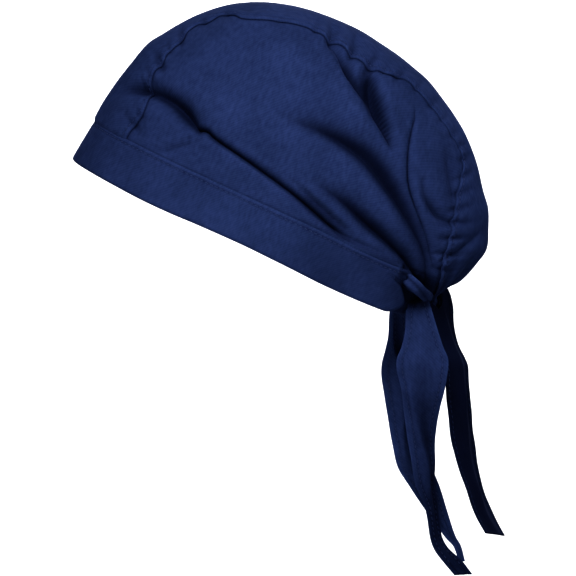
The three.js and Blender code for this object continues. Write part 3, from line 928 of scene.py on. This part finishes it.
# %% [markdown]
# ## The hanging ends
# Two ties and the tail of the strip hang from the knot. A table follows each end down: where its
# fore edge and its aft edge lie, and a long fold between them, by its share of the width and its
# height. The first rows come out of the knot and bend over. The hems are a second layer, so they
# stand a little proud, with a row of stitches beside them.

# %% Hanging ends
END_COLUMNS = "drop fore fore_side aft aft_side ridge height"
TIE_LEFT = table(
    END_COLUMNS, (36, 94, 7, 104, 7, 0.5, 0), (32.6, 92, 14, 104.2, 14, 0.5, 0),
    (34.6, 91.6, 22, 104.3, 22, 0.5, 0.2), (38.9, 92, 28.5, 104.6, 28.5, 0.5, 0.3),
    (41.7, 91, 30.5, 105.6, 30.3, 0.5, 0.5), (52, 90.5, 32.7, 108.7, 32, 0.5, 1),
    (61.1, 88.5, 34, 111.7, 33.8, 0.5, 1), (67.1, 86, 34.4, 114.2, 35.4, 0.4, 1),
    (73.1, 86, 33.7, 114.2, 36.1, 0.28, 1.2), (84.2, 88.8, 29.5, 112.7, 33, 0.22, 3),
    (95.2, 90.2, 26.6, 110.3, 27, 0.26, 4.4), (111.3, 92, 25.1, 108, 18.1, 0.34, 4.6),
    (127.4, 94.6, 23.8, 107.8, 11.8, 0.48, 4.4), (140.4, 96.8, 21.4, 107.6, 8, 0.5, 4),
    (148, 100, 19.2, 109, 6.2, 0.4, 3), (154, 102.6, 17.9, 109.9, 5.4, 0.4, 2),
    (170.1, 105.4, 18, 111.8, 6.5, 0.4, 1), (176.6, 107.9, 18.7, 115.4, 8.7, 0.5, 1),
    (183.1, 112.6, 19.3, 123, 11.3, 0.5, 0.6), (190.8, 119.2, 19, 129.2, 13, 0.5, 0.3))
TIE_RIGHT = table(
    END_COLUMNS, (40, 90.5, -1, 97.5, -2, 0.5, 0), (39.6, 88, -5, 95.5, -6, 0.5, 0),
    (42, 84.6, -8, 94, -9, 0.4, 0), (47, 83, -9.4, 94, -11.2, 0.28, 0.6),
    (59.5, 82.6, -10, 95, -13, 0.15, 2), (67.5, 80.8, -9, 96, -14, 0.25, 4),
    (74, 79, -8, 97.5, -15, 0.36, 5.5), (81, 78.5, -7, 98, -15.5, 0.44, 6),
    (92, 80.1, -8, 99, -15.5, 0.45, 5.8), (105, 82.3, -10, 101, -15, 0.4, 5),
    (120, 85, -10.5, 103.3, -14.2, 0.3, 4.2), (134, 88.2, -9.8, 107.5, -13.2, 0.28, 2.5),
    (144.5, 94.6, -8.5, 111.6, -12.5, 0.4, 1), (160.5, 105.5, -7, 116.6, -11, 0.5, 0.5),
    (173.5, 115.2, -5, 121, -8, 0.5, 0.5), (178, 119.4, -4, 123.6, -5.5, 0.5, 0.3),
    (186.5, 122.4, -3, 126, -3.5, 0.5, 0.3))
STRIP_TAIL = table(
    END_COLUMNS, (31.4, 105.2, 10.5, 115.4, -6, 0.5, 0), (36, 104.2, 13, 117.4, -9, 0.5, 1),
    (42, 103.5, 14.5, 118.5, -14, 0.5, 2), (49.5, 104.5, 15.5, 119.4, -18, 0.5, 3),
    (58.5, 107.5, 16, 121, -20.5, 0.5, 3.5), (65.5, 110, 16.5, 123, -22, 0.5, 4),
    (71.5, 112.3, 17, 125.8, -23, 0.5, 4), (77, 113.2, 17, 127.9, -23.5, 0.5, 4),
    (96, 114.4, 17, 129.3, -24, 0.5, 4), (117.5, 117.3, 16, 131.4, -23, 0.5, 3.6),
    (133.5, 121.7, 15, 133.2, -22.5, 0.5, 3), (147, 126.6, 14.5, 136.8, -22, 0.5, 2.6),
    (160.5, 131, 14, 142.5, -21, 0.5, 2), (171.2, 136.4, 13.5, 149.4, -20.5, 0.5, 1))
HEM = Named(width=4.4, height=0.3, step=0.8, stitches=3.2, groove=0.25, groove_width=0.6, shade=0.3)
END_FOLD = Named(round=0.02, after=0.24, wide=0.2, full=6, shade=0.7)
END_RIPPLE = (16, 0.8)
END_SLOPE = 0.0875
# Where, along an end, its ripple, its slanted cut and the painted shade of its lower part come in.
END_FADE = Named(bend=(0, 0.1), slant=(0.85, 1), low=(0.62, 0.82))


def along_rows(rows):
    """The rows of a hanging end with their distance down its middle, for even cloth."""
    middle = joined(rows["drop"], (rows["fore"] + rows["aft"]) / 2,
                    (rows["fore_side"] + rows["aft_side"]) / 2)
    return dict(rows, run=run_length(middle))


def ridge_height(v, ridge):
    """The long fold's height, from 0 at both edges to 1 at the ridge, which is a little rounded."""
    rise = np.where(v < ridge, v / ridge, ((1 - v) / (1 - ridge)) ** 2)
    top, foot = math.sqrt(END_FOLD.round), math.sqrt(1 + END_FOLD.round)
    return 1 - (np.sqrt((1 - rise) ** 2 + END_FOLD.round) - top) / (foot - top)


def hanging_surface(rows, slant, painted_shade_overall=0, painted_shade_lower=0):
    """A hanging end, from its bend at the knot to its cut edge, which may slant.

    Painted shade darkens all of the end by one amount and its lower part by another.
    """
    rows = along_rows(rows)

    def surface(u, v):
        run = rows["run"][-1] * u
        at = rows_at(rows, "run", run)
        deep, wide = at["aft_side"] - at["fore_side"], at["aft"] - at["fore"]
        width = np.hypot(deep, wide)
        from_edge = width * np.minimum(v, 1 - v)
        hem = HEM.height * (1 - smooth(from_edge, HEM.width - HEM.step, HEM.width))
        stitched, drawn = sewn(from_edge - HEM.stitches, run, HEM.groove, HEM.groove_width)
        out = at["height"] * ridge_height(v, at["ridge"]) + hem + drawn
        loose = ripple(joined(width * v, 0 * run, run), *END_RIPPLE)
        out += loose * smooth(u, *END_FADE.bend)
        lower = END_SLOPE * (deep / 2 - deep * v) + slant * (v - 0.5) * smooth(u, *END_FADE.slant)
        place = joined(at["fore_side"] + deep * v + out * wide / width,
                       at["fore"] + wide * v - out * deep / width, -at["drop"] - lower)
        bed = hump(v, at["ridge"] + END_FOLD.after, END_FOLD.wide)
        # Painted shade: over the whole end, on its lower part, in its stitch grooves and in the bed
        # of its long fold.
        hollow = painted_shade_overall + HEM.shade * stitched + painted_shade_lower * smooth(u, *END_FADE.low)
        hollow += END_FOLD.shade * at["height"] / END_FOLD.full * bed
        grain = joined(width * (v - 0.5), run)
        return place, grain, stripe(from_edge, *WEAR.hem), hollow

    return surface


# Painted shade: most on the tail, which hangs in shade behind the ties, and on the near tie's lower
# part.
tie_left = cloth_sheet("tie_left_twill", 180, 60, hanging_surface(TIE_LEFT, 0, 0.12, 0.6))
tie_right = cloth_sheet("tie_right_twill", 180, 60, hanging_surface(TIE_RIGHT, 0, 0, 0.15))
tail = cloth_sheet("strip_tail_twill", 150, 60, hanging_surface(STRIP_TAIL, 4, 1.15))

# %% [markdown]
# ## The knot
# A half knot is one turn of each tie about the other over the gathered cloth. Each turn is a short
# rope of pleated cloth bent into a ring. The rings lean opposite ways over a core, so they cross.

# %% Knot
KNOT = Named(back=112.6, up=9.8, wide=11, deep=4.6, high=5.2, shade=1.1)
CORE_PLEATS = Named(count=11, share=0.06, round=8, along=13)
TURNS = table("lean apart radius strand", (0.35, 5, 4.6, 2.1), (-0.45, -4, 4.8, 2.3))
TURN_FORM = Named(squeezed=0.9, flattened=1.2, uneven=0.3, worn=0.2, worn_top=0.3)
ROPE_PLEATS = Named(count=7, depth=0.5, twist=1.6)


def knot_place(local):
    """From the knot's middle to the worn cap."""
    return as_worn(local + np.array([0, KNOT.back, KNOT.up]))


def turn_surface(lean, apart, radius, strand):
    def surface(u, v):
        ring, section = 2 * math.pi * u, 2 * math.pi * v
        twisted = ROPE_PLEATS.count * section + ROPE_PLEATS.twist * np.sin(ring)
        thick = strand + ROPE_PLEATS.depth * np.cos(twisted)
        thick += TURN_FORM.uneven * np.sin(3 * ring + section)
        out = radius + thick * np.cos(section)
        round_it = out * np.cos(ring)
        beside = TURN_FORM.flattened * thick * np.sin(section)
        angle = math.pi / 2 + lean
        turned = joined(round_it * math.cos(angle) + beside * math.sin(angle) + apart,
                        TURN_FORM.squeezed * out * np.sin(ring),
                        beside * math.cos(angle) - round_it * math.sin(angle))
        grain = joined(radius * ring, strand * section)
        worn = TURN_FORM.worn + TURN_FORM.worn_top * np.cos(section)
        # Painted shade over the whole ring, as dark as the shaded tail beside it.
        return knot_place(turned), grain, worn, 0 * u + KNOT.shade
    return surface


def core_surface(u, v):
    ring, rise = 2 * math.pi * u, math.pi * (v - 0.5)
    pleats = 1 + CORE_PLEATS.share * np.cos(CORE_PLEATS.count * ring)
    local = joined(KNOT.wide * np.sin(rise),
                   KNOT.deep * np.cos(rise) * np.cos(ring) * pleats,
                   KNOT.high * np.cos(rise) * np.sin(ring) * pleats)
    grain = joined(CORE_PLEATS.round * ring, CORE_PLEATS.along * rise)
    return knot_place(local), grain, 0 * u, 0 * u


def closed_form(name, columns, rows, surface):
    """A grid wrapped right round into a closed form, with its seams and poles merged."""
    sheet = cloth_sheet(name, columns, rows, surface)
    sheet.modifiers.clear()
    built = bmesh.new()
    built.from_mesh(sheet.data)
    bmesh.ops.remove_doubles(built, verts=built.verts, dist=1e-6)
    bmesh.ops.recalc_face_normals(built, faces=built.faces)
    built.to_mesh(sheet.data)
    built.free()
    return sheet


knot_core = closed_form("knot_core", 96, 40, core_surface)
knot_turns = [closed_form(f"knot_turn_{index + 1}", 120, 56, turn_surface(*row))
              for index, row in enumerate(zip(*TURNS.values()))]

# %% [markdown]
# ## Stitches
# Lockstitches of navy thread hold the strip's edges, the headband and the hems, about three
# millimetres apart. Each one shows as a short grain of thread that dips at both ends, so a small
# stretched ball laid along its row is enough. All the stitches of a row are one mesh.

# %% Stitch rows
STITCH = Named(length=2.2, wide=0.28, thick=0.26, pitch=3.0, proud=0.02)
STITCH_BATCH = 600
ROW_SAMPLES = 900
NUDGE = 2e-3


def move_into(batch, built):
    """Empties a small bmesh into a large one, since operators are quick only on small ones."""
    carrier = bpy.data.meshes.new("carrier")
    batch.to_mesh(carrier)
    built.from_mesh(carrier)
    bpy.data.meshes.remove(carrier)
    batch.clear()


def lay_stitches(built, surface, u, v, inside):
    """Lays stitches along a run of a surface, on the face that looks away from a point inside."""
    centre = surface(u, v)[0]
    along = np.gradient(centre, axis=0)
    across = surface(u, v + NUDGE)[0] - surface(u, v - NUDGE)[0]
    out = np.cross(along, across)
    out *= np.sign((out * (centre - np.array(inside))).sum(1))[:, None]
    travelled = run_length(centre)
    places = np.arange(STITCH.pitch / 2, travelled[-1], STITCH.pitch)

    def at_places(values):
        return joined(*(np.interp(places, travelled, column) for column in values.T))

    batch = bmesh.new()
    for middle, run, up in zip(at_places(centre), at_places(along), at_places(out)):
        run, up = Vector(run).normalized(), Vector(up).normalized()
        axes = Matrix((up.cross(run) * STITCH.wide, up * STITCH.thick,
                       run * STITCH.length / 2)).transposed()
        spot = Vector(middle) + up * (CLOTH / 2 + STITCH.proud)
        matrix = Matrix.Translation(spot * MM) @ (axes * MM).to_4x4()
        bmesh.ops.create_uvsphere(batch, u_segments=6, v_segments=5, radius=1, matrix=matrix)
        if len(batch.verts) > STITCH_BATCH:
            move_into(batch, built)
    move_into(batch, built)
    batch.free()
    return len(places)


def stitched_piece(name, rows):
    """One mesh of all the stitches along some rows."""
    built = bmesh.new()
    count = sum(lay_stitches(built, *row) for row in rows)
    bmesh.ops.recalc_face_normals(built, faces=built.faces)
    print(name, count, "stitches")
    return add_object(name, mesh_from(name, built))


# %% [markdown]
# Each row is found on its own piece, at a set distance from the edge. The strip's and the band's
# grids are closer together at their edges, so the place in the grid is looked up on a fine ruler.

# %% Where the rows run
RULER = np.linspace(0, 1, 400)
STRIP_ROW = (17, 172)
BAND_ROW = (0.012, 0.988)
INSIDE_CAP = (0, 20, 10)
INNER_AND_OUTER = ((-400, 0, -100), (400, 0, -100))


def strip_row(hand):
    degrees = np.linspace(*STRIP_ROW, ROW_SAMPLES)
    u = (degrees - STRIP.front) / (STRIP.nape - STRIP.front)
    share = 1 - STITCH_LINE.strip / half_strip(np.full(ROW_SAMPLES, hand), degrees)
    v = np.interp(share, -strip_across(0.5 + RULER / 2), RULER / 2)
    return strip_surface, u, 0.5 - hand * v, INSIDE_CAP


def band_row():
    u = np.linspace(*BAND_ROW, 2 * ROW_SAMPLES)
    length = band_length(rows_at(BAND_OUTLINE, "angle", np.abs(band_degrees(u))))
    even = np.interp(1 - STITCH_LINE.band / length, band_part(RULER), RULER)
    return band_surface, u, 0.5 + even / 2, INSIDE_CAP


def hem_rows(rows, slant, last=0.96):
    """Both hems of a hanging end, each seen from the two faces."""
    run = along_rows(rows)
    u = np.linspace(0.07, last, ROW_SAMPLES)
    at = rows_at(run, "run", run["run"][-1] * u)
    share = HEM.stitches / np.hypot(at["aft_side"] - at["fore_side"], at["aft"] - at["fore"])
    surface = hanging_surface(rows, slant)
    return [(surface, u, v, face) for v in (share, 1 - share) for face in INNER_AND_OUTER]


strip_stitches = stitched_piece("centre_strip_stitches", [strip_row(LEFT), strip_row(RIGHT)])
band_stitches = stitched_piece("headband_stitches", [band_row()])
tie_left_stitches = stitched_piece("tie_left_stitches", hem_rows(TIE_LEFT, 0))
tie_right_stitches = stitched_piece("tie_right_stitches", hem_rows(TIE_RIGHT, 0, last=0.84))
tail_stitches = stitched_piece("strip_tail_stitches", hem_rows(STRIP_TAIL, 4))

# %% [markdown]
# ## Twill
# Navy cotton and polyester twill is woven with fine diagonal ribs about half a millimetre apart,
# dyed in the piece and not glossy. The ribs are drawn at 1.3 mm here, which is coarser than real,
# since at this distance the real ones would blur to nothing. Slubs, the uneven places in the yarn,
# break them up. Colour varies a little over the cloth, as dye does. Worn hems and seam edges are
# lighter. Shade is painted into the colour as well, darker in the beds of folds, gathers and
# pleats, in the seams' cracks and stitch grooves, at the band's turned-in end, on the knot and on
# the hanging ends.

# %% Twill material
# TWILL's darkest colour is painted shade, mixed in where the meshes carry painted shade.
TWILL = Named(light="2b3758", dark="232e4b", worn="35446c", hollow="080d1f", worn_share=0.45,
              hollow_share=0.85, roughness=0.9, sheen=0.06, sheen_roughness=0.4, fuzz="5a6db0",
              gloss=0.02)
RIBS = Named(pitch=1.3, turn=math.radians(48), height=0.00016, bump=0.8, wander=0.6, shade="9098b0",
             shade_share=0.52, low=0.25, high=0.75)
SLUBS = Named(scale=520.0, detail=2.0, stretch=0.45, share=0.84)
DYE = Named(scale=38.0, detail=4.0, roughness=0.6, low=0.3, high=0.7)


def wave_scale(pitch):
    """A band texture's scale for a pitch in millimetres."""
    return 2 * math.pi / (20 * pitch * MM)


def mixed(tree, factor, first, second, blend="MIX"):
    """Two colours mixed by a factor. Each is a value or a socket."""
    node = add_node(tree, "ShaderNodeMix", {"data_type": "RGBA", "blend_type": blend},
                    Factor=factor, A=first, B=second)
    return node.outputs["Result"]


def ranged(tree, value, low, high, top=1.0):
    """A value that runs from 0 to the top between low and high."""
    node = add_node(tree, "ShaderNodeMapRange", Value=value, From_Min=low, From_Max=high,
                    To_Min=0.0, To_Max=top)
    return node.outputs["Result"]


def attribute_share(tree, name, share):
    """A share of what a mesh says at each corner under that name."""
    said = add_node(tree, "ShaderNodeAttribute", {"attribute_name": name})
    part = add_node(tree, "ShaderNodeMath", {"operation": "MULTIPLY"})
    tree.links.new(said.outputs["Fac"], part.inputs[0])
    part.inputs[1].default_value = share
    return part.outputs["Value"]


def twill_weave(tree):
    """Diagonal ribs broken up by slubs, from 0 to 1."""
    weave = add_node(tree, "ShaderNodeUVMap", {"uv_map": "weave"}).outputs["UV"]
    turned = add_node(tree, "ShaderNodeMapping", Vector=weave, Rotation=(0, 0, RIBS.turn))
    ribs = add_node(tree, "ShaderNodeTexWave", {"wave_profile": "SIN"},
                    Vector=turned.outputs["Vector"], Scale=wave_scale(RIBS.pitch),
                    Distortion=RIBS.wander, Detail=1.0, Detail_Scale=1.0)
    drawn = add_node(tree, "ShaderNodeMapping", Vector=weave, Scale=(1, SLUBS.stretch, 1))
    slubs = add_node(tree, "ShaderNodeTexNoise", Vector=drawn.outputs["Vector"],
                     Scale=SLUBS.scale, Detail=SLUBS.detail)
    woven = add_node(tree, "ShaderNodeMix", {"data_type": "FLOAT"}, Factor=SLUBS.share,
                     A=ribs.outputs["Fac"], B=slubs.outputs["Fac"])
    return woven.outputs["Result"]


def twill_colour(tree, woven):
    """The dyed cloth's colour, shaded between the ribs, lighter where worn, and darker where shade
    is painted.
    """
    place = add_node(tree, "ShaderNodeTexCoord").outputs["Object"]
    dye = add_node(tree, "ShaderNodeTexNoise", Vector=place, Scale=DYE.scale,
                   Detail=DYE.detail, Roughness=DYE.roughness).outputs["Fac"]
    uneven = ranged(tree, dye, DYE.low, DYE.high)
    dyed = mixed(tree, uneven, linear(TWILL.dark), linear(TWILL.light))
    shading = ranged(tree, woven, RIBS.low, RIBS.high, RIBS.shade_share)
    shaded = mixed(tree, shading, dyed, linear(RIBS.shade), "MULTIPLY")
    worn = mixed(tree, attribute_share(tree, "wear", TWILL.worn_share), shaded, linear(TWILL.worn))
    # Painted shade: the colour is mixed towards near-black navy where the meshes carry shade.
    return mixed(tree, attribute_share(tree, "hollow", TWILL.hollow_share), worn,
                 linear(TWILL.hollow))


def twill_material(name):
    material, tree, shader = bare_material(name)
    woven = twill_weave(tree)
    bump = add_node(tree, "ShaderNodeBump", Strength=RIBS.bump, Distance=RIBS.height, Height=woven)
    fill(shader, Base_Color=twill_colour(tree, woven), Normal=bump.outputs["Normal"],
         Roughness=TWILL.roughness, Specular_IOR_Level=TWILL.gloss, Sheen_Weight=TWILL.sheen,
         Sheen_Roughness=TWILL.sheen_roughness, Sheen_Tint=linear(TWILL.fuzz))
    return material


twill = twill_material("piece_dyed_navy_twill")
for piece in (panel_left, panel_right, strip, band, strand_left, strand_right, tie_left, tie_right,
              tail, knot_core, *knot_turns):
    piece.data.materials.append(twill)
print("twill ribs drawn every", RIBS.pitch, "mm")

# %% [markdown]
# ## Thread
# Core-spun polyester sewing thread, dyed to match. It is smoother than the cloth and stands proud
# of it, so it catches a little more light. Its two-ply twist is far too fine to draw.

# %% Thread material
THREAD = Named(colour="1b2748", roughness=0.75, gloss=0.2, ply_scale=900.0, ply_bump=0.4,
               ply_height=0.0001)


def thread_material(name):
    material, tree, shader = bare_material(name)
    place = add_node(tree, "ShaderNodeTexCoord").outputs["Object"]
    speckle = add_node(tree, "ShaderNodeTexNoise", Vector=place, Scale=THREAD.ply_scale)
    ply = add_node(tree, "ShaderNodeBump", Strength=THREAD.ply_bump,
                   Distance=THREAD.ply_height, Height=speckle.outputs["Fac"])
    fill(shader, Base_Color=linear(THREAD.colour), Normal=ply.outputs["Normal"],
         Roughness=THREAD.roughness, Specular_IOR_Level=THREAD.gloss)
    return material


thread = thread_material("core_spun_polyester_thread")
for piece in (strip_stitches, band_stitches, tie_left_stitches, tie_right_stitches, tail_stitches):
    piece.data.materials.append(thread)
print("thread's colour:", THREAD.colour)

# %% [markdown]
# ## The pieces on the cap's body
# Every piece rides on the cap's one body and stands for its imported node.

STANDS_FOR = {
    "headband": [band, strand_left, strand_right, band_stitches], "side_panel_left": [panel_left],
    "side_panel_right": [panel_right], "crown_strip": [strip, strip_stitches],
    "nape_knot": [knot_core, *knot_turns], "tie_left": [tie_left, tie_left_stitches],
    "tie_right": [tie_right, tie_right_stitches], "strip_tail": [tail, tail_stitches],
}
for node, made in STANDS_FOR.items():
    for piece in made:
        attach(piece, "root")
        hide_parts(node)

# %% [markdown]
# ## The imported sizes
# The box of each imported node is printed, in millimetres.

# %% Print the imported sizes
for node, made in STANDS_FOR.items():
    low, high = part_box(node)
    print(node, "packed", [round((b - a) * 1000, 1) for a, b in zip(low, high)], "mm")
